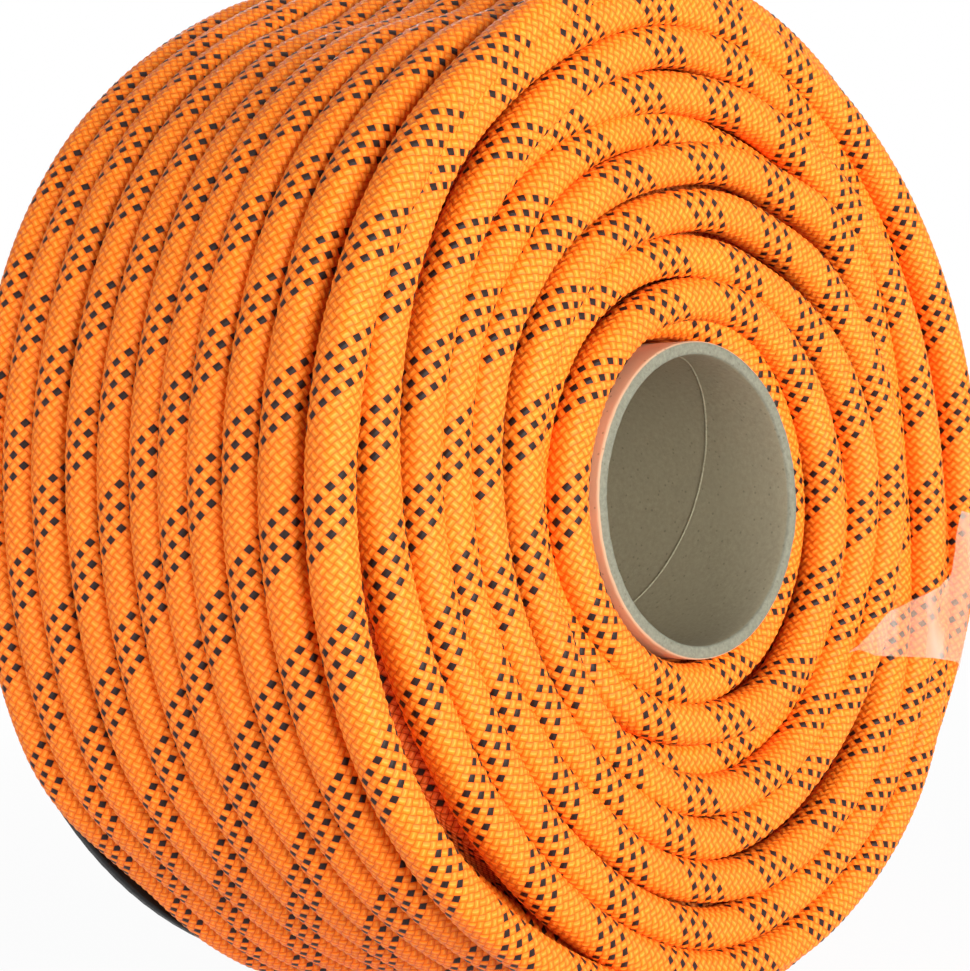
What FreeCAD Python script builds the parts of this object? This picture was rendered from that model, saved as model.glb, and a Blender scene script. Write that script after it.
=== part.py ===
import FreeCAD, Part
import math
import os

V = FreeCAD.Vector
os.makedirs("parts", exist_ok=True)

# A reel of kernmantle climbing rope, lying on its round side.
# All sizes are in millimetres. The reel's axis runs along Y, the open face looks to -Y,
# the black flange closes the +Y side and Z is up. The origin is in the middle of the bore.

# Rope
rope_d = 11.0
layers = 9
side_turns = 11
face_turns = 7

# Cardboard core
bore_d = 70.0
tube_wall = 4.0
tube_proud = 0.4

# Far flange
flange_t = 3.0
flange_setback = 3.8
flange_edge_round = 0.8

# Clear tape over the open shoulder
tape_w = 38.0
tape_t = 0.6
tape_face_run = 40.0
tape_side_run = 46.0
tape_angle = -19.0

# Hump where the outer turns cross the ones beneath, growing from the open face to the flange
hump_near_height = 6.0
hump_far_height = 12.0

# Room between the pieces
turn_room = 1.2
seat_gap = 0.3
tape_gap = 0.6
flat_cut = 0.5
end_room = 0.45

# The rope's fused tips
tip_len = 1.6
tip_swell = 0.25

# Where the winding starts and ends, as seen on the open face
start_angle = 10.0

# Sizes that follow from those
rope_r = rope_d / 2.0
form_r = (rope_d - turn_room) / 2.0
bore_r = bore_d / 2.0
tube_r = bore_r + tube_wall
layer_step = rope_d * math.cos(math.radians(30.0))
helix_r = tube_r + rope_r + (layers - 1) * layer_step
wound_w = side_turns * rope_d
tube_len = tube_proud + wound_w + flange_t
mouth_y = -tube_len / 2.0
face_y = mouth_y + tube_proud
ring_y = face_y + rope_r
flange_y = tube_len / 2.0 - flange_t
last_y = flange_y - rope_r
flange_r = helix_r + rope_r - flange_setback
core_r = helix_r - form_r - seat_gap
core_face_y = ring_y + form_r + seat_gap
first_r = tube_r + form_r + seat_gap
helix_loops = (last_y - ring_y) / rope_d


def add(name, shape):
    shape.exportStep("parts/" + name + ".step")
    box = shape.optimalBoundingBox(False)
    print(name, "solids", len(shape.Solids), "valid", shape.isValid(),
          "volume", round(shape.Volume, 1), "z", round(box.ZMin, 2), round(box.ZMax, 2),
          "y", round(box.YMin, 2), round(box.YMax, 2))


# Rings over the open face, each a climb further out, then a screw line to the flange, all
# wound clockwise. A ring keeps its radius for three quarters of a turn and climbs in the last
# quarter, and the screw's turns have their hump where that quarter begins.
second_r = math.hypot(first_r, rope_d) + 2.0 * form_r + end_room + turn_room / 2.0
face_step = (helix_r - second_r) / (face_turns - 1)
climb = 0.25


def ring_radius(k):
    return first_r if k == 0 else second_r + face_step * (k - 1)


def hump(side):
    """Height of the hump after so many side turns."""
    return hump_near_height + (hump_far_height - hump_near_height) * side / helix_loops


def route(turn):
    """Point of the rope's middle line after so many turns from its inner end."""
    k = int(turn + 1e-9)
    part = turn - k
    if turn >= face_turns:
        risen = max(0.0, 1.0 - abs(part - 1.0 + climb) / climb)
        radius = helix_r + hump(turn - face_turns) * risen
    else:
        risen = max(0.0, (part - 1.0 + climb) / climb)
        radius = ring_radius(k) + (ring_radius(k + 1) - ring_radius(k)) * risen
    side = max(0.0, turn - face_turns)
    a = math.radians(start_angle - 360.0 * turn)
    return V(radius * math.cos(a), ring_y + rope_d * side, radius * math.sin(a))


def heading(turn):
    """Unit direction of the middle line: square to the radius, with the screw's slope behind the face."""
    a = math.radians(start_angle - 360.0 * turn)
    slope = rope_d / (2.0 * math.pi * helix_r) if turn > face_turns + 0.01 else 0.0
    way = V(math.sin(a), slope, -math.cos(a))
    return way.multiply(1.0 / way.Length)


def arc(a, b, corner):
    """Arc from a to b whose two end tangents meet at the corner."""
    mid = (a + b).multiply(0.5)
    half = (a - mid).Length
    rise = (corner - mid).Length
    turn = math.atan2(rise, half)
    up = (corner - mid).multiply(1.0 / rise)
    return Part.Arc(a, mid + up.multiply(half * math.tan(turn / 2.0)), b).toShape()


def biarc(p0, t0, p1, t1):
    """Two tangent arcs between two points with given directions."""
    chord = p1 - p0
    both = t0 + t1
    k = 2.0 * (1.0 - t0.dot(t1))
    lead = chord.dot(both)
    d = (-lead + math.sqrt(lead * lead + k * chord.dot(chord))) / k
    q0 = p0 + V(t0).multiply(d)
    q1 = p1 - V(t1).multiply(d)
    joint = (q0 + q1).multiply(0.5)
    return [arc(p0, joint, q0), arc(joint, p1, q1)]


total_turns = face_turns + helix_loops
stops = [i * climb for i in range(int(round(total_turns / climb)) + 1)]
knots = [(route(t), heading(t)) for t in stops]
inner_tip = knots[0][0] - V(knots[0][1]).multiply(rope_d)
outer_tip = knots[-1][0] + V(knots[-1][1]).multiply(rope_d)
edges = [Part.LineSegment(inner_tip, knots[0][0]).toShape()]
for (p0, t0), (p1, t1) in zip(knots, knots[1:]):
    edges += biarc(p0, t0, p1, t1)
edges.append(Part.LineSegment(knots[-1][0], outer_tip).toShape())
line = Part.Wire(edges)

# Least gap between the turns, measured on points of the line itself
samples = []
for edge in edges:
    first, last = edge.ParameterRange
    count = max(6, int(edge.Length / 6.0))
    for j in range(count):
        p = edge.valueAt(first + (last - first) * j / count)
        samples.append((math.degrees(math.atan2(p.z, p.x)) % 360.0, p))
samples.append((math.degrees(math.atan2(outer_tip.z, outer_tip.x)) % 360.0, outer_tip))
along = [0.0]
for (_, a), (_, b) in zip(samples, samples[1:]):
    along.append(along[-1] + (b - a).Length)
sector = {}
for i, (angle, p) in enumerate(samples):
    sector.setdefault(int(angle / 10.0), []).append(i)
least = 1e9
for i, (angle, p) in enumerate(samples):
    for near in (-1, 0, 1):
        for j in sector.get((int(angle / 10.0) + near) % 36, []):
            if along[i] - along[j] > 6.0 * rope_d:
                least = min(least, p.distanceToPoint(samples[j][1]))
print("turns", round(total_turns, 2), "middle line", round(line.Length, 1), "mm",
      "least gap between turns", round(least - 2.0 * form_r, 3), "mm")
tight = min(e.Curve.Radius for e in edges if hasattr(e.Curve, "Radius"))
print("tightest arc", round(tight, 2), "mm")

section = Part.Wire([Part.Circle(inner_tip, knots[0][1], form_r).toShape()])
rope = line.makePipeShell([section], True, False)
if rope.ShapeType != "Solid":
    rope = Part.Solid(rope) if rope.ShapeType == "Shell" else rope.Solids[0]
print("pipe volume over section times length",
      round(abs(rope.Volume) / (math.pi * form_r ** 2 * line.Length), 5))

# The reel rests on its lowest turns, which are pressed flat a little
low_z = -(helix_r + form_r) + flat_cut
slab_w = 4.0 * helix_r
slab = Part.makeBox(slab_w, slab_w, rope_d, V(-slab_w / 2.0, -slab_w / 2.0, low_z - rope_d))
rope = rope.cut(slab)
add("rope_outer_turns", rope)


# Fused tips of the two rope ends
def tip(at, way):
    lens_r = form_r + tip_swell
    body = Part.makeCylinder(form_r, tip_len, at, way)
    rim = Part.makeCone(form_r, lens_r, tip_len / 2.0, at, way)
    rim = rim.fuse(Part.makeCone(lens_r, form_r - tip_swell, tip_len / 2.0,
                                 at + V(way).multiply(tip_len / 2.0), way))
    return body.fuse(rim).removeSplitter()


add("rope_inner_tip", tip(inner_tip, V(knots[0][1]).multiply(-1.0)))
add("rope_outer_tip", tip(outer_tip, knots[-1][1]))

# The layers underneath, as one plain ring with the same hump, between the tube and the flange
def ring_outline(y):
    ends = []
    for quarter in range(5):
        a = math.radians(start_angle - 90.0 * quarter)
        radius = core_r + (hump((y - ring_y) / rope_d) if quarter == 3 else 0.0)
        ends.append((V(radius * math.cos(a), y, radius * math.sin(a)), V(math.sin(a), 0, -math.cos(a))))
    return Part.Wire([e for (p0, t0), (p1, t1) in zip(ends, ends[1:]) for e in biarc(p0, t0, p1, t1)])


core = Part.makeLoft([ring_outline(core_face_y), ring_outline(flange_y)], True, True)
room = 1e9
for angle, p in samples:
    if p.y > core_face_y:
        room = min(room, core.distToShape(Part.Vertex(p))[0])
print("least gap of the outer turns to the layers underneath", round(room - form_r, 3), "mm")
core = core.cut(Part.makeCylinder(tube_r, tube_len, V(0, mouth_y, 0), V(0, 1, 0)))
add("rope_inner_layers", core)

# Cardboard tube with softly broken rim edges
tube = Part.makeCylinder(tube_r, tube_len, V(0, mouth_y, 0), V(0, 1, 0))
tube = tube.cut(Part.makeCylinder(bore_r, tube_len, V(0, mouth_y, 0), V(0, 1, 0)))
rim_round = tube_wall / 8.0
rims = [e for e in tube.Edges if abs(e.BoundBox.YMax - mouth_y) < 0.01 and hasattr(e.Curve, "Radius")]
tube = tube.makeFillet(rim_round, rims)
add("core_tube", tube)

# Black flange, pushed onto the far end of the tube and flush with it
flange = Part.makeCylinder(flange_r, flange_t, V(0, flange_y, 0), V(0, 1, 0))
outline = [e for e in flange.Edges if hasattr(e.Curve, "Radius")]
flange = flange.makeFillet(flange_edge_round, outline)
flange = flange.cut(Part.makeCylinder(tube_r, 3.0 * flange_t, V(0, flange_y - flange_t, 0), V(0, 1, 0)))
add("rear_flange", flange)

# Clear tape: a strip that starts on the face and folds over the shoulder onto the round side
turn_at_tape = ((start_angle - tape_angle) / 360.0) % 1.0
last_ring_r = ring_radius(face_turns - 1)
spine = [
    (last_ring_r - tape_face_run, ring_y),
    (last_ring_r, ring_y),
    (helix_r, ring_y + rope_d * turn_at_tape),
    (helix_r, ring_y + rope_d * turn_at_tape + tape_side_run),
]


def offset_edges(points, away):
    """Lines and arcs that follow the points at one distance, on their outer side."""
    parts = []
    ends = []
    for (r0, y0), (r1, y1) in zip(points, points[1:]):
        run = math.hypot(r1 - r0, y1 - y0)
        nr, ny = (y1 - y0) / run, -(r1 - r0) / run
        ends.append((V(r0 + nr * away, y0 + ny * away, 0), V(r1 + nr * away, y1 + ny * away, 0),
                     nr, ny))
    for i, (a, b, nr, ny) in enumerate(ends):
        parts.append(Part.LineSegment(a, b).toShape())
        if i + 1 < len(ends):
            nr2, ny2 = ends[i + 1][2], ends[i + 1][3]
            size = math.hypot(nr + nr2, ny + ny2)
            r, y = points[i + 1]
            top = V(r + (nr + nr2) / size * away, y + (ny + ny2) / size * away, 0)
            parts.append(Part.Arc(b, top, ends[i + 1][0]).toShape())
    return parts


inner_side = offset_edges(spine, form_r + tape_gap)
outer_side = offset_edges(spine, form_r + tape_gap + tape_t)
start_cap = Part.LineSegment(inner_side[0].Vertexes[0].Point, outer_side[0].Vertexes[0].Point).toShape()
stop_cap = Part.LineSegment(inner_side[-1].Vertexes[-1].Point, outer_side[-1].Vertexes[-1].Point).toShape()
outline = Part.Wire(Part.__sortEdges__(inner_side + [stop_cap] + outer_side + [start_cap]))
fan = math.degrees(2.4 * tape_w / 2.0 / (last_ring_r - tape_face_run))
tape = Part.Face(outline)
tape.rotate(V(0, 0, 0), V(0, 1, 0), fan / 2.0)
tape = tape.revolve(V(0, 0, 0), V(0, 1, 0), -fan)
strip = Part.makeBox(2.0 * helix_r, 2.0 * tube_len, tape_w, V(0, -tube_len, -tape_w / 2.0))
tape = tape.common(strip)
tape.rotate(V(0, 0, 0), V(0, 1, 0), -tape_angle)
add("retaining_tape", tape)
print("wound rope in the real winding", round(layers * side_turns * math.pi
      * (tube_r + rope_r + helix_r) / 1000.0, 1), "m")
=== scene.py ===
import math
import bpy
import numpy as np
from mathutils import Matrix, Vector


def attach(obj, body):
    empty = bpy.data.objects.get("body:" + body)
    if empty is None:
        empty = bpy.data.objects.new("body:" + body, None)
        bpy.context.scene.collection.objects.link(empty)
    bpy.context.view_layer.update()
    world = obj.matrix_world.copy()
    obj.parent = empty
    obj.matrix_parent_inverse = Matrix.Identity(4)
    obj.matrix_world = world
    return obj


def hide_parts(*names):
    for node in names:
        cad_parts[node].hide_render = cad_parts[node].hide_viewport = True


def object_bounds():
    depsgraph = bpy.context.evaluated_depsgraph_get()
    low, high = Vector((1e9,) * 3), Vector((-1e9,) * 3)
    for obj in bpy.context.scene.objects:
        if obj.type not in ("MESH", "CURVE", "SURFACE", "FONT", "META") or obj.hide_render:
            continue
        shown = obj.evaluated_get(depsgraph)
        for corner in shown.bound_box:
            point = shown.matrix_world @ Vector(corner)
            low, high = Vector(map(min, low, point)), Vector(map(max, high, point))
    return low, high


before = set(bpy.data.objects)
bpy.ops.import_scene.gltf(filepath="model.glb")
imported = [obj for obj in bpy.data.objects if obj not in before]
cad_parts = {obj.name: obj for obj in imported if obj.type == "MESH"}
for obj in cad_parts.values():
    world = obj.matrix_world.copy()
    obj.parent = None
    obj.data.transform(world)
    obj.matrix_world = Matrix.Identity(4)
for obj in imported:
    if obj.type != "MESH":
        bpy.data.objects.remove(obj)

cad_box = [list(corner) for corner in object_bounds()]

# A reel of kernmantle climbing rope on a cardboard tube. Sizes here are in millimetres and
# become metres when a mesh is made. Y runs along the reel's axis, from the open face to the
# black disc, and Z is up. An angle is seen on the open face: 0 is right, 90 is up.
MM = 0.001

# Half the rope's thickness before its neighbours press it, the tube's two radii and its two ends,
# and the plain radius of the outer layer's middle line
rope_r = 5.25
tube_in_r, tube_out_r = 35.0, 38.3
mouth_y, tube_end_y = -62.2, 62.2
outer_r = 120.71
floor_z = cad_box[0][2]

# The sheath is braided from 12 yarns each way; one yarn goes once round in lay_len.
yarns = 12
lay_len = 29.0
around = 2 * yarns
step_len = lay_len / around
yarn_rise = 0.09
# Half width of the pressed rope outwards and towards its neighbours, and how square it is
press_out, press_side, press_power = 5.2, 5.35, 2.35
# Bundles of filaments side by side in one yarn, how steeply a yarn's float falls to its edges and
# to its ends, and the share of its height that is lost at the ends
yarn_plies = 3
float_edge, float_end, end_shade = 1.4, 0.45, 0.40


# ---------------------------------------------------------------- small helpers
def linear(hex_colour):
    """sRGB hex to the linear colour that a shader takes."""
    values = [int(hex_colour[i:i + 2], 16) / 255.0 for i in (0, 2, 4)]
    curved = [v / 12.92 if v <= 0.04045 else ((v + 0.055) / 1.055) ** 2.4 for v in values]
    return tuple(curved) + (1.0,)


def add(tree, kind, inputs=None, **settings):
    """Adds a node with its settings and links. An input is a node, a socket or a plain value."""
    new = tree.nodes.new("ShaderNode" + kind)
    for key, value in settings.items():
        setattr(new, key, value)
    for key, value in (inputs or {}).items():
        if isinstance(value, bpy.types.Node):
            value = value.outputs[0]
        if isinstance(value, bpy.types.NodeSocket):
            tree.links.new(value, new.inputs[key])
        else:
            new.inputs[key].default_value = value
    return new


def material(name):
    """An empty material and its node tree."""
    made = bpy.data.materials.new(name)
    made.use_nodes = True
    made.node_tree.nodes.clear()
    return made, made.node_tree


def smooth(x):
    """Eases from 0 to 1 as x goes from 0 to 1."""
    x = np.clip(x, 0.0, 1.0)
    return x * x * (3.0 - 2.0 * x)


def around_table(angles, values):
    """Smooth closed curve through (angle, value) pairs, for angles in degrees."""
    angles = np.asarray(angles, float)
    values = np.asarray(values, float)

    def at(theta):
        theta = np.mod(theta - angles[0], 360.0)
        knots = np.append(angles - angles[0], 360.0)
        heights = np.append(values, values[0])
        i = np.clip(np.searchsorted(knots, theta, side="right") - 1, 0, len(knots) - 2)
        t = (theta - knots[i]) / (knots[i + 1] - knots[i])
        n = len(values)
        p0, p1 = heights[(i - 1) % n], heights[i]
        p2, p3 = heights[(i + 1) % n], heights[(i + 2) % n]
        return 0.5 * (2 * p1 + (p2 - p0) * t + (2 * p0 - 5 * p1 + 4 * p2 - p3) * t * t
                      + (3 * p1 - p0 - 3 * p2 + p3) * t ** 3)
    return at


def mesh_piece(name, points, faces, finish, replaced=(), uv=None):
    """Piece from numpy points (mm) and faces of equal corner count, riding on the reel."""
    mesh = bpy.data.meshes.new(name)
    faces = np.asarray(faces, np.int32)
    count, corners = faces.shape
    mesh.vertices.add(len(points))
    mesh.vertices.foreach_set("co", (np.asarray(points) * MM).astype(np.float32).ravel())
    mesh.loops.add(count * corners)
    mesh.loops.foreach_set("vertex_index", faces.ravel())
    mesh.polygons.add(count)
    mesh.polygons.foreach_set("loop_start", np.arange(0, count * corners, corners, dtype=np.int32))
    mesh.polygons.foreach_set("use_smooth", np.full(count, True))
    if uv is not None:
        layer = mesh.uv_layers.new(name="braid")
        layer.data.foreach_set("uv", np.asarray(uv, np.float32).ravel())
    mesh.update(calc_edges=True)
    mesh.validate()
    mesh.materials.append(finish)
    made = bpy.data.objects.new(name, mesh)
    bpy.context.scene.collection.objects.link(made)
    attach(made, "root")
    if replaced:
        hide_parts(*replaced)
    return made


# ---------------------------------------------------------------- camera
def place_camera():
    """The photograph's view: long lens, left of the open face, a little above the axis."""
    azimuth, elevation, roll = math.radians(-47.319), math.radians(2.152), math.radians(-3.236)
    ahead = Vector((-math.sin(azimuth) * math.cos(elevation),
                    math.cos(azimuth) * math.cos(elevation), -math.sin(elevation)))
    right = ahead.cross(Vector((0, 0, 1))).normalized()
    up = right.cross(ahead)
    turned_right = right * math.cos(roll) + up * math.sin(roll)
    turned_up = right * -math.sin(roll) + up * math.cos(roll)
    sensor_mm, focal_px, photo_px = 36.0, 2800.0, 971.0
    lens = bpy.data.cameras.new("camera")
    lens.sensor_width = sensor_mm
    lens.lens = focal_px * sensor_mm / photo_px
    lens.clip_start = 0.05
    lens.clip_end = 30.0
    seen = bpy.data.objects.new("camera", lens)
    rows = Matrix((turned_right, turned_up, -ahead)).transposed()
    seen.matrix_world = Matrix.Translation((-0.52911, -0.47931, 0.03171)) @ rows.to_4x4()
    bpy.context.scene.collection.objects.link(seen)
    bpy.context.scene.camera = seen


place_camera()


# ---------------------------------------------------------------- materials
def braided_nylon(name, deep, body, crest, crest_highlight, seed):
    """Nylon kernmantle sheath: filament yarns braided one over one, dyed orange, with three
    black tracer yarns that run one way. Each yarn's colour follows its relief, with painted shade
    in its grooves and a painted highlight on its crest; the filaments keep their gloss low and
    soft."""
    made, t = material(name)
    uv = add(t, "UVMap", uv_map="braid")
    split = add(t, "SeparateXYZ", {0: uv})
    run = add(t, "Math", {0: split.outputs[1], 1: 1.0 / lay_len}, operation="MULTIPLY")
    z_sum = add(t, "Math", {0: split.outputs[0], 1: run}, operation="SUBTRACT")
    s_sum = add(t, "Math", {0: split.outputs[0], 1: run}, operation="ADD")
    z = add(t, "Math", {0: z_sum, 1: float(yarns)}, operation="MULTIPLY")
    s = add(t, "Math", {0: s_sum, 1: float(yarns)}, operation="MULTIPLY")
    z_no = add(t, "Math", {0: z}, operation="FLOOR")
    s_no = add(t, "Math", {0: s}, operation="FLOOR")
    z_in = add(t, "Math", {0: z}, operation="FRACT")
    s_in = add(t, "Math", {0: s}, operation="FRACT")
    both = add(t, "Math", {0: z_no, 1: s_no}, operation="ADD")
    half = add(t, "Math", {0: both, 1: 0.5}, operation="MULTIPLY")
    odd = add(t, "Math", {0: half}, operation="FRACT")
    s_top = add(t, "Math", {0: odd, 1: 0.25}, operation="GREATER_THAN")
    across = add(t, "Mix", {0: s_top, 2: z_in, 3: s_in})
    along = add(t, "Mix", {0: s_top, 2: s_in, 3: z_in})
    # A float swells in its middle, narrows to its edges and dives under at both ends; its
    # filament bundles lie side by side along it.
    across_wave = add(t, "Math", {0: across, 1: math.pi}, operation="MULTIPLY")
    back = add(t, "Math", {0: across_wave}, operation="SINE")
    along_wave = add(t, "Math", {0: along, 1: math.pi}, operation="MULTIPLY")
    dive = add(t, "Math", {0: along_wave}, operation="SINE")
    back_round = add(t, "Math", {0: back, 1: float_edge}, operation="POWER")
    dive_round = add(t, "Math", {0: dive, 1: float_end}, operation="POWER")
    dive_part = add(t, "Math", {0: dive_round, 1: end_shade, 2: 1.0 - end_shade},
                    operation="MULTIPLY_ADD")
    pillow = add(t, "Math", {0: dive_part, 1: back_round}, operation="MULTIPLY")
    ply_wave = add(t, "Math", {0: across, 1: math.pi * yarn_plies}, operation="MULTIPLY")
    ply_sine = add(t, "Math", {0: ply_wave}, operation="SINE")
    ply = add(t, "Math", {0: ply_sine}, operation="ABSOLUTE")
    ply_part = add(t, "Math", {0: ply, 1: 0.18, 2: 0.82}, operation="MULTIPLY_ADD")
    height = add(t, "Math", {0: pillow, 1: ply_part}, operation="MULTIPLY")
    # Black tracers: every second one of six neighbouring yarns, and only where they lie on top
    z_round = add(t, "Math", {0: z_no, 1: float(yarns)}, operation="FLOORED_MODULO")
    z_half = add(t, "Math", {0: z_round, 1: 0.5}, operation="MULTIPLY")
    z_odd = add(t, "Math", {0: z_half}, operation="FRACT")
    z_even = add(t, "Math", {0: z_odd, 1: 0.25}, operation="LESS_THAN")
    z_first = add(t, "Math", {0: z_round, 1: 5.5}, operation="LESS_THAN")
    z_tracer = add(t, "Math", {0: z_even, 1: z_first}, operation="MULTIPLY")
    z_top = add(t, "Math", {0: 1.0, 1: s_top}, operation="SUBTRACT")
    on_tracer = add(t, "Math", {0: z_tracer, 1: z_top}, operation="MULTIPLY")
    inked = add(t, "MapRange", {0: back, 1: 0.12, 2: 0.26, 3: 0.0, 4: 1.0})
    capped = add(t, "MapRange", {0: dive, 1: 0.0, 2: 0.15, 3: 0.0, 4: 1.0})
    inked_part = add(t, "Math", {0: inked.outputs[0], 1: capped.outputs[0]}, operation="MULTIPLY")
    tracer = add(t, "Math", {0: on_tracer, 1: inked_part}, operation="MULTIPLY")
    # Each yarn takes the dye a little differently, and the whole length varies slowly
    yarn_no = add(t, "Mix", {0: s_top, 2: z_no, 3: s_no})
    yarn_id = add(t, "Math", {0: yarn_no, 1: s_top}, operation="ADD")
    cell = add(t, "CombineXYZ", {0: yarn_id, 1: both, 2: float(seed)})
    cell_noise = add(t, "TexWhiteNoise", {0: cell}, noise_dimensions="3D")
    place = add(t, "TexCoord")
    slow = add(t, "TexNoise", {0: place.outputs[3], "Scale": 28.0, "Detail": 2.0})
    fibre = add(t, "TexNoise", {0: place.outputs[3], "Scale": 2600.0, "Detail": 2.0})
    # Colour follows the relief height: painted shade in the grooves, a painted highlight along each
    # float's crest
    painted_relief_shading = add(t, "ValToRGB", {0: height})
    ramp = painted_relief_shading.color_ramp
    ramp.elements[0].position, ramp.elements[0].color = 0.0, linear(deep)
    ramp.elements[1].position, ramp.elements[1].color = 0.30, linear(body)
    for place_on, shade in ((0.72, crest), (0.97, crest_highlight)):
        ramp.elements.new(place_on).color = linear(shade)
    lift = add(t, "MapRange", {0: cell_noise, 1: 0.0, 2: 1.0, 3: 0.93, 4: 1.07})
    slow_lift = add(t, "MapRange", {0: slow, 1: 0.3, 2: 0.7, 3: 0.96, 4: 1.04})
    fibre_lift = add(t, "MapRange", {0: fibre, 1: 0.3, 2: 0.7, 3: 0.95, 4: 1.05})
    lift_two = add(t, "Math", {0: lift.outputs[0], 1: slow_lift.outputs[0]}, operation="MULTIPLY")
    lift_all = add(t, "Math", {0: lift_two, 1: fibre_lift.outputs[0]}, operation="MULTIPLY")
    dyed = add(t, "VectorMath", {0: painted_relief_shading, "Scale": lift_all}, operation="SCALE")
    colour = add(t, "Mix", {0: tracer, 6: dyed, 7: linear("261714")}, data_type="RGBA")
    rough_height = add(t, "Math", {0: fibre, 1: 0.12, 2: height}, operation="MULTIPLY_ADD")
    bump = add(t, "Bump", {"Strength": 1.0, "Distance": 0.00026, "Height": rough_height})
    shader = add(t, "BsdfPrincipled", {
        "Base Color": colour.outputs[2], "Normal": bump, "Roughness": 0.5, "IOR": 1.53,
        "Specular IOR Level": 0.17})
    add(t, "OutputMaterial", {0: shader})
    return made


def pressed_cardboard(name, rim_dark="68655B", rim_pale="8C897E"):
    """Spirally wound greyboard: recycled fibre, flecked and dull, greyer at the cut rim, and peach
    outside as painted orange bounce light from the rope. The u of its map is 0 in the bore, 1 on
    the rim and 2 outside."""
    made, t = material(name)
    place = add(t, "TexCoord")
    uv = add(t, "UVMap", uv_map="braid")
    split = add(t, "SeparateXYZ", {0: uv})
    fibres = add(t, "TexNoise", {0: place.outputs[3], "Scale": 900.0, "Detail": 6.0,
                                 "Roughness": 0.7})
    blotch = add(t, "TexNoise", {0: place.outputs[3], "Scale": 60.0, "Detail": 3.0})
    fleck = add(t, "TexVoronoi", {0: place.outputs[3], "Scale": 420.0})
    fleck_mask = add(t, "MapRange", {0: fleck, 1: 0.10, 2: 0.16, 3: 1.0, 4: 0.0})
    wall = add(t, "ValToRGB", {0: fibres})
    blotchy = add(t, "Mix", {0: blotch, 6: wall, 7: linear("A29681")}, data_type="RGBA")
    rim = add(t, "ValToRGB", {0: fibres})
    for ramp, low, dark, high, pale in ((wall, 0.3, "8E8270", 0.7, "B3A78F"),
                                        (rim, 0.25, rim_dark, 0.75, rim_pale)):
        first, last = ramp.color_ramp.elements
        first.position, first.color = low, linear(dark)
        last.position, last.color = high, linear(pale)
    on_rim = add(t, "Mix", {0: split.outputs[0], 6: blotchy.outputs[2], 7: rim}, data_type="RGBA")
    # Outside the tube the wall turns peach: painted orange bounce light from the rope around it
    outside = add(t, "MapRange", {0: split.outputs[0], 1: 1.2, 2: 1.8, 3: 0.0, 4: 1.0})
    wall_and_painted_bounce = add(t, "Mix", {0: outside.outputs[0], 6: on_rim.outputs[2], 7: linear("D9AE93")},
                  data_type="RGBA")
    fleck_soft = add(t, "Math", {0: fleck_mask.outputs[0], 1: 0.35}, operation="MULTIPLY")
    flecked = add(t, "Mix", {0: fleck_soft, 6: wall_and_painted_bounce.outputs[2], 7: linear("4C4335")},
                  data_type="RGBA")
    bump = add(t, "Bump", {"Strength": 0.6, "Distance": 0.0002, "Height": fibres})
    shader = add(t, "BsdfPrincipled", {"Base Color": flecked.outputs[2], "Normal": bump,
                                       "Roughness": 0.88, "IOR": 1.45, "Specular IOR Level": 0.3})
    add(t, "OutputMaterial", {0: shader})
    return made


def glossy_polypropylene(name):
    """Injection-moulded black polypropylene sheet: glossy, with faint scuffs and flow marks."""
    made, t = material(name)
    place = add(t, "TexCoord")
    flow = add(t, "TexNoise", {0: place.outputs[3], "Scale": 35.0, "Detail": 2.0})
    scuffs = add(t, "TexNoise", {0: place.outputs[3], "Scale": 700.0, "Detail": 4.0})
    colour = add(t, "Mix", {0: flow, 6: linear("0B0B0C"), 7: linear("18181A")}, data_type="RGBA")
    rough = add(t, "MapRange", {0: scuffs, 1: 0.3, 2: 0.7, 3: 0.38, 4: 0.55})
    bump = add(t, "Bump", {"Strength": 0.15, "Distance": 0.0002, "Height": flow})
    shader = add(t, "BsdfPrincipled", {"Base Color": colour.outputs[2], "Normal": bump,
                                       "Roughness": rough.outputs[0], "IOR": 1.49,
                                       "Specular IOR Level": 0.25})
    add(t, "OutputMaterial", {0: shader})
    return made


def clear_polypropylene_film(name):
    """Clear packing film, lifted off the rope: a milky haze of trapped air with whiter streaks,
    which are painted highlights on its wrinkles; all of it is fainter near the axis. Its map gives
    millimetres along and across the film."""
    made, t = material(name)
    uv = add(t, "UVMap", uv_map="braid")
    place = add(t, "TexCoord")
    haze = add(t, "TexNoise", {0: place.outputs[3], "Scale": 70.0, "Detail": 3.0})
    stretched = add(t, "Mapping", {0: uv, "Scale": (0.09, 0.02, 1.0)})
    # Whiter streaks across the film: painted highlights on its wrinkles
    streaks = add(t, "TexNoise", {0: stretched, "Scale": 1.0, "Detail": 2.0})
    painted_glint = add(t, "MapRange", {0: streaks, 1: 0.50, 2: 0.68, 3: 0.0, 4: 1.0})
    milk = add(t, "MapRange", {0: haze, 1: 0.3, 2: 0.7, 3: 0.32, 4: 0.42})
    whiter = add(t, "Math", {0: painted_glint.outputs[0], 1: 0.24, 2: milk.outputs[0]},
                 operation="MULTIPLY_ADD")
    reach = add(t, "SeparateXYZ", {0: uv})
    lifted = add(t, "MapRange", {0: reach.outputs[0], 1: 66.0, 2: 106.0, 3: 0.55, 4: 1.0})
    alpha = add(t, "Math", {0: whiter, 1: lifted.outputs[0]}, operation="MULTIPLY")
    colour = add(t, "Mix", {0: painted_glint.outputs[0], 6: linear("EEC6B4"), 7: linear("E4D6D0")},
                 data_type="RGBA")
    creases = add(t, "TexNoise", {0: place.outputs[3], "Scale": 260.0, "Detail": 2.0})
    bump = add(t, "Bump", {"Strength": 0.12, "Distance": 0.0002, "Height": creases})
    shader = add(t, "BsdfPrincipled", {"Base Color": colour.outputs[2], "Normal": bump,
                                       "Roughness": 0.22, "IOR": 1.49, "Alpha": alpha})
    add(t, "OutputMaterial", {0: shader})
    return made


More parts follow.
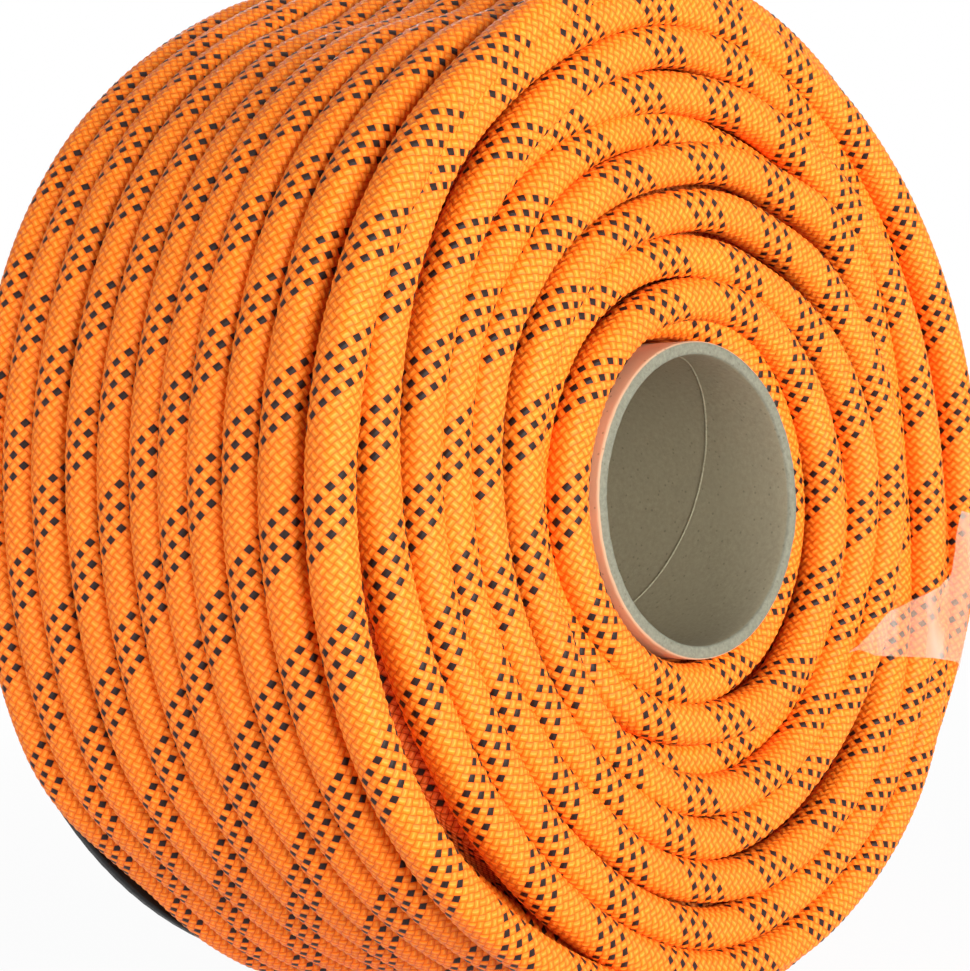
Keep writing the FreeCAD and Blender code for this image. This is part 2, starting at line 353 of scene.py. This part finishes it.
def melted_nylon(name):
    """Nylon melted by a hot knife: glassy brown-orange skin with darker burnt patches."""
    made, t = material(name)
    place = add(t, "TexCoord")
    burn = add(t, "TexNoise", {0: place.outputs[3], "Scale": 350.0, "Detail": 4.0})
    colour = add(t, "Mix", {0: burn, 6: linear("2B1209"), 7: linear("B4521A")}, data_type="RGBA")
    bump = add(t, "Bump", {"Strength": 0.6, "Distance": 0.0004, "Height": burn})
    shader = add(t, "BsdfPrincipled", {"Base Color": colour.outputs[2], "Normal": bump,
                                       "Roughness": 0.3, "IOR": 1.53})
    add(t, "OutputMaterial", {0: shader})
    return made


# Each ramp runs from painted shade in the grooves to a painted highlight on the crests
sheath = braided_nylon("braided_nylon_sheath", "E05A0A", "F6781A", "FB8424", "FF9C3E", 3)
# The layers underneath take a darker copy of the same sheath: painted shade deep in the winding
sheath_shaded_under = braided_nylon("braided_nylon_shaded_underneath", "8E2A05", "D9601A", "E07030", "F08A4A", 5)
cardboard = pressed_cardboard("wound_greyboard")
ply_paper = pressed_cardboard("pale_ply_edge", "8E8471", "B5AC97")
black_sheet = glossy_polypropylene("glossy_black_polypropylene")
film = clear_polypropylene_film("clear_polypropylene_film")
melt = melted_nylon("melted_nylon")


# ---------------------------------------------------------------- the rope's route
# One rope: it comes round the outer layer from the far disc, runs onto the open face and
# winds inwards there. Each stop gives the angle, the radius and the depth behind the mouth.
# column_y is the depth of each column of the outer layer, and between the two shift angles a turn
# moves on to the next column. The rope's hidden outer end is at tail_angle: its first 46 degrees
# lie partly inside the next turn, which hasn't moved on yet.
column_y = [5.2, 18.3, 29.5, 40.6, 50.3, 59.9, 70.9, 81.9, 93.9, 104.4, 115.2]
shift_from, shift_to = 330.0, 460.0
tail_angle = -3590.0
shoulder_stops = [
    (100, 125.4, 5.5), (108, 122.6, 5.4), (118, 120.7, 5.3), (140, 120.0, 5.2),
    (180, 119.5, 5.2), (210, 119.0, 5.2), (225, 118.3, 5.2),
    (240, 117.5, 5.4), (255, 118.5, 7.0), (270, 120.0, 9.0), (300, 121.0, 10.5), (330, 120.5, 8.5),
    (345, 119.8, 6.2), (360, 119.3, 5.2), (375, 119.3, 5.2), (390, 118.7, 5.2), (405, 118.0, 5.2),
    (435, 118.2, 5.2), (450, 119.0, 5.2), (465, 116.8, 5.2), (480, 115.0, 5.2), (495, 114.1, 5.2),
    (510, 111.3, 5.2), (525, 108.0, 5.2), (540, 105.0, 5.2), (555, 102.3, 5.2), (570, 100.8, 5.2),
    (585, 101.8, 5.2), (600, 104.6, 5.2), (615, 109.5, 5.2), (630, 114.6, 5.2), (645, 117.1, 5.2),
    (660, 117.9, 5.2), (675, 117.7, 5.2), (690, 116.0, 7.0), (705, 113.0, 9.5), (720, 110.5, 11.0),
    (750, 110.0, 11.0), (765, 109.5, 10.0), (780, 109.5, 8.0), (795, 109.3, 6.0), (810, 109.1, 5.2),
    (835, 104.0, 5.2), (855, 99.5, 5.2), (870, 96.5, 5.2), (900, 92.5, 5.2), (930, 90.1, 5.2),
    (945, 91.6, 5.2), (960, 94.5, 5.2), (975, 99.2, 5.2), (990, 104.2, 5.6), (1005, 105.9, 5.2),
    (1020, 106.9, 5.2), (1035, 107.1, 5.2), (1050, 105.5, 5.4), (1065, 103.5, 5.3),
    (1080, 101.8, 5.2), (1110, 101.8, 5.2), (1125, 100.2, 5.2), (1140, 99.1, 5.2),
    (1155, 98.7, 5.2), (1170, 98.2, 6.0), (1185, 98.0, 7.0), (1200, 98.5, 8.0), (1215, 96.0, 10.0),
    (1260, 88.0, 14.0), (1290, 88.0, 17.0)]
inner_stops = [
    (10, 97.0, 20.0), (30, 95.0, 16.0), (45, 92.5, 13.0), (60, 90.0, 11.5), (75, 88.5, 10.0),
    (90, 90.0, 10.0), (105, 89.5, 8.5), (120, 88.5, 7.0), (135, 87.0, 6.5), (150, 87.2, 5.4),
    (165, 85.1, 5.2), (180, 83.2, 5.2), (195, 81.8, 5.2), (210, 80.8, 5.2), (225, 81.4, 5.2),
    (240, 83.4, 5.2), (255, 88.4, 5.2), (270, 92.7, 5.2), (285, 95.8, 5.2), (300, 97.1, 5.2),
    (315, 97.4, 5.2), (330, 96.0, 7.0), (345, 94.0, 9.5), (360, 92.5, 10.5), (375, 92.5, 9.5),
    (390, 92.5, 7.0), (405, 91.6, 5.2), (420, 86.4, 5.2), (435, 83.8, 5.2), (450, 80.7, 5.4),
    (480, 78.6, 5.2), (495, 77.8, 5.2), (510, 77.2, 5.2), (525, 75.0, 5.2), (540, 73.0, 5.2),
    (555, 71.8, 5.2), (570, 71.6, 5.2), (585, 72.4, 5.2), (600, 74.3, 5.2), (615, 78.0, 5.2),
    (630, 82.3, 5.6), (645, 82.7, 5.2), (660, 81.7, 5.2), (675, 81.3, 5.2), (690, 82.0, 5.2),
    (705, 82.5, 5.2), (720, 83.8, 5.2), (735, 83.3, 5.2), (750, 80.2, 5.2), (765, 77.4, 5.2),
    (780, 73.5, 5.2), (795, 71.8, 5.2), (810, 69.5, 5.2), (840, 67.0, 5.2), (855, 64.9, 5.2),
    (870, 62.5, 5.2), (885, 61.0, 5.2), (900, 60.0, 5.2), (930, 60.0, 5.2), (945, 62.4, 5.2),
    (960, 65.5, 5.2), (975, 69.0, 5.2), (990, 71.6, 5.2), (1005, 73.6, 5.2), (1020, 74.5, 5.8),
    (1035, 73.5, 7.0), (1050, 73.0, 7.5), (1065, 73.0, 7.0), (1080, 73.0, 6.0), (1095, 71.0, 5.4),
    (1110, 67.7, 5.2), (1125, 63.4, 5.2), (1140, 60.4, 5.2), (1155, 59.5, 5.2), (1170, 58.9, 6.0),
    (1200, 58.4, 6.4), (1215, 58.0, 7.0), (1230, 55.5, 9.0), (1260, 52.5, 11.0), (1290, 52.0, 9.5),
    (1305, 52.8, 7.5), (1320, 53.3, 6.0), (1335, 53.6, 5.3), (1350, 54.0, 5.2), (1365, 55.9, 5.2),
    (1380, 57.6, 5.2), (1410, 57.4, 5.2), (1425, 56.9, 5.2), (1440, 55.8, 5.2), (1470, 54.1, 5.2),
    (1485, 52.9, 5.2), (1500, 51.4, 5.2), (1515, 49.7, 5.2), (1530, 48.2, 5.2), (1560, 46.0, 5.2),
    (1590, 44.7, 5.2), (1620, 44.5, 5.2), (1680, 44.5, 5.4), (1710, 44.5, 6.5), (1740, 44.5, 8.0),
    (1770, 44.5, 9.0), (1800, 44.5, 9.4), (1860, 44.5, 10.0), (1890, 44.5, 11.0),
    (1920, 44.5, 14.0), (1940, 44.5, 17.0)]
# A ring that shows deep between the inner rings, and a stretch of the layer below that shows
# between the two outermost ones
filler_stops = [(215, 61.0, 17.0), (235, 61.5, 12.5), (250, 62.5, 10.5), (270, 63.7, 10.0),
                (300, 64.3, 10.0), (330, 65.0, 10.5), (360, 65.0, 11.0), (380, 65.0, 13.0),
                (400, 65.0, 17.0)]
deep_stops = [(130, 113.0, 21.0), (160, 112.0, 19.0), (190, 111.0, 18.5), (225, 110.5, 18.0),
              (255, 110.0, 18.5), (285, 110.0, 21.0)]

# How far the outer layer stands off its plain radius, near the open face, half way and at the far
# end: a hump where its turns cross those beneath, and a slump low down on the left.
stand_angles = [0, 40, 75, 95, 103, 110, 118, 126, 140, 158, 180, 205, 212, 220, 227, 232, 240,
                250, 270, 310]
stand_near = [0, 0, 2.0, 6.0, 4.0, -0.6, 0.6, 0.8, 1.0, 0.0, -0.3, -0.8, -1.3, -2.0, -2.9, -3.6,
              -3.9, -4.2, -1.0, 0]
stand_middle = [0, 0, 3.0, 7.5, 5.2, 1.8, 4.0, 4.8, 4.8, 2.2, 0.0, -0.3, -0.8, -1.4, -1.9, -2.2,
                -2.4, -2.4, -0.9, 0]
stand_far = [0, 0, 4.0, 11.0, 10.8, 9.6, 8.6, 8.0, 6.4, 3.4, 0.8, 1.5, 0.2, -2.6, -3.9, -3.4, -1.4,
             0.2, -0.9, 0]


def through(stops):
    """Smooth radius and depth through stops of (angle, radius, depth)."""
    table = np.asarray(stops, float)
    x = table[:, 0]

    def at(theta):
        i = np.clip(np.searchsorted(x, theta, side="right") - 1, 0, len(x) - 2)
        width = x[i + 1] - x[i]
        t = (theta - x[i]) / width
        answers = []
        for value in (table[:, 1], table[:, 2]):
            slope = np.gradient(value, x)
            answers.append((2 * t ** 3 - 3 * t ** 2 + 1) * value[i]
                           + (t ** 3 - 2 * t ** 2 + t) * width * slope[i]
                           + (3 * t ** 2 - 2 * t ** 3) * value[i + 1]
                           + (t ** 3 - t ** 2) * width * slope[i + 1])
        return answers
    return at


def stand_off(theta, depth):
    """How far the outer layer stands off at an angle and a depth, blended from the three tables."""
    middle_at, far_from, far_over = 50.0, 55.0, 60.0
    near = around_table(stand_angles, stand_near)(theta)
    middle = around_table(stand_angles, stand_middle)(theta)
    far = around_table(stand_angles, stand_far)(theta)
    low = smooth(depth / middle_at)
    high = smooth((depth - far_from) / far_over)
    return near + (middle - near) * low + (far - middle) * high


def side_point(theta):
    """Radius and depth of the outer layer at an angle counted back from the mouth."""
    column = np.ceil((shift_from - theta) / 360.0).astype(int)
    column = np.clip(column, 0, len(column_y) - 1)
    into = theta - (shift_from - 360.0 * column)
    heights = np.array(column_y)
    nearer = heights[np.maximum(column - 1, 0)]
    settled = smooth(into / (shift_to - shift_from))
    depth = heights[column] + (nearer - heights[column]) * settled
    return outer_r + stand_off(theta, depth), depth


def swept(radius, depth, theta):
    """Points in mm at the given radii, depths and angles."""
    a = np.radians(theta)
    return np.stack([radius * np.cos(a), mouth_y + depth, radius * np.sin(a)], axis=1)


def pressed_section():
    """Outline of the soft rope, pressed squarer by its neighbours, in steps of equal length."""
    phi = np.linspace(0.0, 2.0 * np.pi, 4801)
    reach = (np.abs(np.cos(phi) / press_out) ** press_power
             + np.abs(np.sin(phi) / press_side) ** press_power) ** (-1.0 / press_power)
    outline = np.stack([reach * np.cos(phi), reach * np.sin(phi)], -1)
    length = np.concatenate([[0.0], np.cumsum(np.linalg.norm(np.diff(outline, axis=0), axis=1))])
    wanted = length[-1] * np.arange(around) / around
    return np.stack([np.interp(wanted, length, outline[:, k]) for k in (0, 1)], -1)


section = pressed_section()


def rope_tube(name, coarse, from_len=0.0, to_len=None, replaced=()):
    """Braided rope along dense points: every braid crossing is raised in the mesh itself."""
    gaps = np.linalg.norm(np.diff(coarse, axis=0), axis=1)
    along = np.concatenate([[0.0], np.cumsum(gaps)])
    first_row = int(round(from_len / step_len))
    rings = int((along[-1] if to_len is None else to_len) / step_len + 0.5) - first_row
    stations = (np.arange(rings + 1) + first_row) * step_len
    line = np.stack([np.interp(stations, along, coarse[:, i]) for i in range(3)], axis=1)
    ahead = np.gradient(line, axis=0)
    ahead /= np.linalg.norm(ahead, axis=1)[:, None]
    away = np.stack([line[:, 0], np.zeros(len(line)), line[:, 2]], axis=1)
    away -= (away * ahead).sum(1)[:, None] * ahead
    away /= np.linalg.norm(away, axis=1)[:, None]
    beside = np.cross(ahead, away)
    i = np.arange(around)
    row = np.arange(rings + 1)
    raised = np.where((i[None, :] + row[:, None] + first_row) % 2 == 1, yarn_rise, -yarn_rise)
    grown = 1.0 + raised / rope_r
    out = grown * section[None, :, 0]
    lateral = grown * section[None, :, 1]
    points = (line[:, None, :] + out[:, :, None] * away[:, None, :]
              + lateral[:, :, None] * beside[:, None, :]).reshape(-1, 3)
    j, k = np.meshgrid(np.arange(rings), i, indexing="ij")
    right = (k + 1) % around
    a = j * around + k
    b = j * around + right
    c = (j + 1) * around + right
    d = (j + 1) * around + k
    even = ((j + k + first_row) % 2 == 0)[..., None]
    one = np.where(even, np.stack([a, b, c], -1), np.stack([a, b, d], -1))
    two = np.where(even, np.stack([a, c, d], -1), np.stack([b, c, d], -1))
    u0, u1 = k / around, (k + 1) / around
    v0, v1 = (j + first_row) * step_len, (j + 1 + first_row) * step_len
    ua, ub, uc, ud = (np.stack(p, -1) for p in ((u0, v0), (u1, v0), (u1, v1), (u0, v1)))
    uv_one = np.where(even[..., None], np.stack([ua, ub, uc], -2), np.stack([ua, ub, ud], -2))
    uv_two = np.where(even[..., None], np.stack([ua, uc, ud], -2), np.stack([ub, uc, ud], -2))
    faces = np.concatenate([one.reshape(-1, 3), two.reshape(-1, 3)])
    uvs = np.concatenate([uv_one.reshape(-1, 2), uv_two.reshape(-1, 2)])
    return mesh_piece(name, points, faces, sheath, replaced, uvs)


def line_of(stops):
    """The rope's middle line through stops, with a point at each degree."""
    theta = np.arange(stops[0][0], stops[-1][0], 1.0)
    radius, depth = through(stops)(theta)
    return swept(radius, depth, theta)


def wound_rope():
    """The outer layer and the shoulder are one run, drawn as three pieces. The inner rings and the
    two deeper stretches are runs of their own, which start and end where they are hidden."""
    theta = np.arange(tail_angle, 100.0, 1.0)
    radius, depth = side_point(theta)
    side = swept(radius, depth, theta)
    shoulder = line_of(shoulder_stops)
    whole = np.concatenate([side, shoulder])
    gaps = np.linalg.norm(np.diff(whole, axis=0), axis=1)
    along = np.concatenate([[0.0], np.cumsum(gaps)])
    cut_at = step_len * round(along[len(side) // 2] / step_len)
    join_at = step_len * round(along[len(side)] / step_len)
    rope_tube("rope_side_far_turns", whole, 0.0, cut_at, ("rope_outer_turns",))
    rope_tube("rope_side_near_turns", whole, cut_at, join_at)
    rope_tube("rope_shoulder_turns", whole, join_at)
    rope_tube("rope_inner_rings", line_of(inner_stops))
    rope_tube("rope_deep_ring", line_of(filler_stops))
    rope_tube("rope_layer_below", line_of(deep_stops))


wound_rope()


# ---------------------------------------------------------------- layers underneath
def lathe(name, profile, finish, replaced=(), around_count=288, waves=None, uv_u=None):
    """Closed ring from a closed profile of (radius, depth) points in mm. waves may move its points
    and uv_u gives the u of each profile point."""
    profile = np.asarray(profile, float)
    n = len(profile)
    theta = 2.0 * np.pi * np.arange(around_count) / around_count
    radius = np.repeat(profile[None, :, 0], around_count, 0)
    depth = np.repeat(profile[None, :, 1], around_count, 0)
    if waves is not None:
        radius, depth = waves(radius, depth, theta[:, None])
    x = radius * np.cos(theta)[:, None]
    z = radius * np.sin(theta)[:, None]
    points = np.stack([x, mouth_y + depth, z], -1).reshape(-1, 3)
    j, k = np.meshgrid(np.arange(around_count), np.arange(n), indexing="ij")
    jj, kk = (j + 1) % around_count, (k + 1) % n
    faces = np.stack([j * n + k, j * n + kk, jj * n + kk, jj * n + k], -1).reshape(-1, 4)
    if uv_u is None:
        u0, u1 = k / n, (k + 1) / n
    else:
        u0, u1 = np.asarray(uv_u)[k], np.asarray(uv_u)[kk]
    turn0, turn1 = j / around_count, (j + 1) / around_count
    reach = profile[k, 0] * 2.0 * np.pi
    corners = [(u0, turn0 * reach), (u1, turn0 * reach), (u1, turn1 * reach), (u0, turn1 * reach)]
    uvs = np.stack([np.stack(c, -1) for c in corners], -2).reshape(-1, 2)
    return mesh_piece(name, points, faces, finish, replaced, uvs)


def ribbed_layers():
    """The turns of the layers underneath, as one ring with a rib for each turn that could show."""
    layers, first_r, layer_step = 8, 44.5, 9.53
    columns, column_r, column_step = 9, 111.2, 11.0
    near_depth, half_turn_depth, far_depth = 16.2, 21.7, 121.0
    far_out_r, far_in_r = 112.0, 39.2
    rib_r, rib_angles = 5.3, (-60, -30, 0, 30, 60)
    profile, u = [], []
    for layer in range(layers):
        r = first_r + layer_step * layer
        depth = half_turn_depth if layer % 2 else near_depth
        for a in rib_angles:
            profile.append((r + rib_r * math.sin(math.radians(a)),
                            depth - rib_r * math.cos(math.radians(a))))
            u.append(0.5 + a / 360.0)
    for column in range(columns):
        for a in rib_angles:
            depth = half_turn_depth + column_step * column + rib_r * math.sin(math.radians(a))
            if depth < far_depth:
                profile.append((column_r + rib_r * math.cos(math.radians(a)), depth))
                u.append(0.5 + a / 360.0)
    profile += [(far_out_r, far_depth), (far_in_r, far_depth)]
    u += [0.5, 0.5]
    return profile, u


def lifted_layers(radius, depth, theta):
    """The layers underneath rise and slump with the outer layer, more the further out they lie."""
    still_r, rise_over = 60.0, 50.0
    share = smooth((radius - still_r) / rise_over)
    return radius + stand_off(np.degrees(theta), depth) * share, depth


core_profile, core_u = ribbed_layers()
# Their darker sheath is painted shade
lathe("rope_layers_underneath", core_profile, sheath_shaded_under,
      ("rope_inner_layers",), waves=lifted_layers, uv_u=core_u)


# ---------------------------------------------------------------- cardboard tube
def tube_profile():
    """Wall with a slightly rounded cut rim, and a mark for each of its points: 2 outside, 1 on the
    cut rim, 0 in the bore."""
    length = tube_end_y - mouth_y
    rim_depth, bore_steps = 1.2, 41
    wall = [(tube_out_r, length, 2), (tube_out_r, length * 0.5, 2), (tube_out_r, 6.0, 2),
            (tube_out_r, rim_depth, 2), (tube_out_r - 0.1, 0.5, 2), (tube_out_r - 0.5, 0.12, 1),
            (tube_out_r - 1.3, 0.0, 1), (tube_in_r + 1.9, 0.0, 1), (tube_in_r + 1.1, 0.0, 1),
            (tube_in_r + 0.4, 0.15, 1), (tube_in_r + 0.1, 0.5, 1), (tube_in_r, rim_depth, 0)]
    for i in range(1, bore_steps + 1):
        wall.append((tube_in_r, rim_depth + (length - rim_depth) * i / bore_steps, 0))
    return [(r, depth) for r, depth, mark in wall], [mark for r, depth, mark in wall]


def frayed(radius, depth, theta):
    """Torn fibres along the cut rim, gone half a millimetre or so behind it."""
    fade, fibre, set_back = 0.5, 0.10, 0.1
    wobble = (np.sin(7 * theta) + 0.6 * np.sin(13 * theta + 1.3) + 0.5 * np.sin(29 * theta + 0.4)
              + 0.5 * np.sin(53 * theta + 2.2))
    at_rim = np.exp(-depth / fade)
    depth = depth + at_rim * fibre * wobble + set_back * at_rim
    return radius, depth


tube_points, tube_rim = tube_profile()
lathe("core_tube_wall", tube_points, cardboard, ("core_tube",), 360, frayed, tube_rim)


def inner_ply_edge():
    """The innermost paper ply is wound as a spiral, and its cut edge stands up a little."""
    # Depth for each degree round the bore, depth at angle 0, and how far it stops from the ends
    rise, start, end_gap = 0.2486, 29.0, 1.0
    width, height, sunk = 0.38, 0.16, 0.05
    first = (start - end_gap) / rise
    last = first - (tube_end_y - mouth_y - 2.0 * end_gap) / rise
    theta = np.linspace(first, last, 700)
    depth = start - rise * theta + 0.10 * np.sin(theta * 0.05) + 0.04 * np.sin(theta * 0.23 + 1.0)
    rows = ((-width, tube_in_r + sunk), (-width * 0.3, tube_in_r - height),
            (width * 0.4, tube_in_r - height), (width, tube_in_r + sunk))
    points = np.stack([swept(np.full_like(theta, r), depth + shift, theta) for shift, r in rows], 1)
    n = len(rows)
    j, k = np.meshgrid(np.arange(len(theta) - 1), np.arange(n - 1), indexing="ij")
    a = j * n + k
    faces = np.stack([a, a + 1, a + n + 1, a + n], -1).reshape(-1, 4)
    uv = np.full((faces.size, 2), 1.0)
    return mesh_piece("inner_ply_edge", points.reshape(-1, 3), faces, ply_paper,
                      (), uv)


inner_ply_edge()


# ---------------------------------------------------------------- black disc
# The disc is flat, so its own solid shows, with only its finish changed
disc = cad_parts["rear_flange"]
disc.data.materials.clear()
disc.data.materials.append(black_sheet)


# ---------------------------------------------------------------- the rope's two ends
def melted_end(name, at, way, node):
    """Cut end melted with a hot knife: a low dome with a bead of nylon round its rim."""
    rows, ring = 14, 48
    rim_part, dome_part = 0.4, 0.6
    skirt_back, skirt_climb, rim_rise, dome_rise = 1.2, 3.6, 0.24, 0.36
    inset, bead = 0.05, 0.30
    way = way / np.linalg.norm(way)
    side = np.cross(way, (0.0, 1.0, 0.0))
    side = side / np.linalg.norm(side)
    other = np.cross(way, side)
    t = np.linspace(0.0, 1.0, rows)[:, None]
    a = 2.0 * np.pi * np.arange(ring)[None, :] / ring
    rise = np.where(t < rim_part, skirt_climb * t - skirt_back,
                    rim_rise + dome_rise * (1.0 - ((1.0 - t) / dome_part) ** 2))
    reach = np.where(t < rim_part, rope_r - inset + bead * np.sin(np.pi * t / rim_part),
                     rope_r * (1.0 - t) / dome_part)
    reach = np.maximum(reach * (1.0 + 0.02 * np.sin(3 * a) + 0.015 * np.sin(7 * a + 1.0)), 0.02)
    rise = rise + 0.10 * np.sin(2 * a + 0.7) * (reach / rope_r)
    points = (at + rise[..., None] * way + (reach * np.cos(a))[..., None] * side
              + (reach * np.sin(a))[..., None] * other).reshape(-1, 3)
    j, k = np.meshgrid(np.arange(rows - 1), np.arange(ring), indexing="ij")
    kk = (k + 1) % ring
    faces = np.stack([j * ring + k, j * ring + kk, (j + 1) * ring + kk, (j + 1) * ring + k],
                     -1).reshape(-1, 4)
    return mesh_piece(name, points, faces, melt, (node,))


inner_end = line_of(inner_stops)[-2:]
tail_angles = np.array([tail_angle, tail_angle + 1.0])
outer_end = swept(*side_point(tail_angles), tail_angles)
melted_end("melted_inner_end", inner_end[1], inner_end[1] - inner_end[0], "rope_inner_tip")
melted_end("melted_outer_end", outer_end[0], outer_end[0] - outer_end[1], "rope_outer_tip")


# ---------------------------------------------------------------- clear tape
# The film's upper and lower edges: how far along the film, counted from the axis, and how high
tape_top = ((55.0, -43.0), (60.0, -41.6), (62.5, -40.2), (75.0, -34.2), (99.0, -30.0),
            (103.0, -27.0), (105.0, -22.0), (108.0, -15.5), (111.0, -10.6), (123.5, -13.6),
            (160.0, -14.0))
tape_bottom = ((55.0, -43.1), (60.0, -42.6), (67.5, -45.0), (93.0, -48.4), (110.0, -51.8),
               (160.0, -53.0))
# The folds across the film: how deep, where, how they slant, about which height, how wide
tape_folds = ((0.45, 103.0, 0.12, 30.0, 1.6), (0.35, 98.0, 0.25, 45.0, 1.2),
              (0.30, 107.5, -0.1, 40.0, 1.0))


def tape_film():
    """Film pulled over the shoulder: it touches the rope's crests and hangs slack between."""
    long_steps, wide_steps = 150, 50
    first_run, film_len, ring_depth = 56.0, 104.0, 5.2
    bend_r, bend_from = rope_r + 0.35, 117.0
    bend_len = bend_r * np.pi / 2.0
    crest_r, ring_step, sunk, sag = 118.0, 10.4, 0.10, 0.45
    column_step, side_lift = 11.0, 0.15
    s, w = np.meshgrid(np.linspace(0.0, 1.0, long_steps), np.linspace(0.0, 1.0, wide_steps),
                       indexing="ij")
    run = first_run + s * film_len
    top = np.interp(run, *zip(*tape_top))
    bottom = np.interp(run, *zip(*tape_bottom))
    z = top + (bottom - top) * w
    straight = np.sqrt(bend_from ** 2 - z ** 2)
    on_face = np.minimum(run, straight)
    over = np.clip((run - straight) / bend_len, 0.0, 1.0)
    run_side = np.maximum(run - straight - bend_len, 0.0)
    depth = ring_depth - bend_r * np.cos(over * np.pi / 2.0) + run_side
    slack = 0.5 * (1.0 + np.cos(2.0 * np.pi * (np.hypot(on_face, z) - crest_r) / ring_step))
    folds = sum(deep * np.exp(-((run - at - slant * (z + level)) / wide) ** 2)
                for deep, at, slant, level, wide in tape_folds)
    depth = depth + np.where(over <= 0.0, -sunk - sag * slack - folds, 0.0)
    out = (bend_r * np.sin(over * np.pi / 2.0)
           + side_lift * (1.0 - np.cos(2.0 * np.pi * run_side / column_step)))
    radial = np.hypot(straight, z)
    x = on_face + out * straight / radial
    z = z + out * z / radial
    points = np.stack([x, mouth_y + depth, z], -1).reshape(-1, 3)
    j, k = np.meshgrid(np.arange(long_steps - 1), np.arange(wide_steps - 1), indexing="ij")
    a = j * wide_steps + k
    faces = np.stack([a, a + 1, a + wide_steps + 1, a + wide_steps], -1).reshape(-1, 4)
    uv = np.stack([run, z], -1).reshape(-1, 2)[faces.ravel()]
    return mesh_piece("retaining_tape_film", points, faces, film,
                      ("retaining_tape",), uv)


tape_film()


# ---------------------------------------------------------------- room and light
def white_ground():
    """White studio paper: camera and mirror rays see it almost white, with the reel's shadow."""
    made, t = material("white_studio_paper")
    rays = add(t, "LightPath")
    seen = add(t, "Math", {0: rays.outputs[0], 1: rays.outputs[3]}, operation="MAXIMUM")
    paper = add(t, "BsdfDiffuse", {0: linear("F4F4F4")})
    bright = add(t, "Emission", {0: (1.0, 1.0, 1.0, 1.0), 1: 1.0})
    white_share = 0.95
    share = add(t, "Math", {0: seen, 1: white_share}, operation="MULTIPLY")
    both = add(t, "MixShader", {0: share, 1: paper, 2: bright})
    add(t, "OutputMaterial", {0: both})
    return made


bpy.ops.mesh.primitive_plane_add(size=12.0, location=(0.0, 0.0, floor_z - 0.0002))
ground = bpy.context.object
ground.name = "studio_ground"
ground.data.materials.append(white_ground())


def studio_room():
    """Light walls and a dark ceiling for the reel; camera, mirror and clear rays see white."""
    world = bpy.data.worlds.new("studio")
    bpy.context.scene.world = world
    world.use_nodes = True
    world.node_tree.nodes.clear()
    t = world.node_tree
    wall_light, ceiling_light, ceiling_from = 0.48, 0.03, 0.6
    rays = add(t, "LightPath")
    direct = add(t, "Math", {0: rays.outputs[0], 1: rays.outputs[3]}, operation="MAXIMUM")
    sees_white = add(t, "Math", {0: direct, 1: rays.outputs[6]}, operation="MAXIMUM")
    sky = add(t, "TexCoord")
    way = add(t, "SeparateXYZ", {0: sky.outputs[0]})
    dimmer = add(t, "MapRange", {0: way.outputs[2], 1: 0.0, 2: ceiling_from,
                                 3: wall_light, 4: ceiling_light})
    dim = add(t, "Background", {0: (1.0, 1.0, 1.0, 1.0), 1: dimmer.outputs[0]})
    white = add(t, "Background", {0: (1.0, 1.0, 1.0, 1.0), 1: 1.0})
    mixed = add(t, "MixShader", {0: sees_white, 1: dim, 2: white})
    add(t, "OutputWorld", {0: mixed})


studio_room()


def soft_box(name, at, aim, size, power, colour=(1.0, 1.0, 1.0)):
    """Lamp with a broad face, at a place in metres, turned to what it aims at."""
    light = bpy.data.lights.new(name, "AREA")
    light.shape = "RECTANGLE"
    light.size, light.size_y = size
    light.energy = power
    light.color = colour
    made = bpy.data.objects.new(name, light)
    made.location = at
    made.rotation_euler = (Vector(aim) - Vector(at)).to_track_quat("-Z", "Y").to_euler()
    bpy.context.scene.collection.objects.link(made)


# The key light in front of the open face, a low one on the left for the side's columns, and one
# behind the reel, for views from there
soft_box("key_softbox", (-0.35, -1.8, 0.05), (0.0, 0.0, 0.0), (1.4, 0.8), 76.0, (0.96, 1.0, 0.88))
soft_box("side_softbox", (-1.65, 0.0, 0.04), (0.0, 0.0, -0.02), (1.1, 0.32), 12.5)
soft_box("back_softbox", (1.25, 1.25, 0.6), (0.0, 0.0, 0.0), (1.2, 0.8), 26.0)

bpy.context.scene.view_settings.view_transform = "Standard"
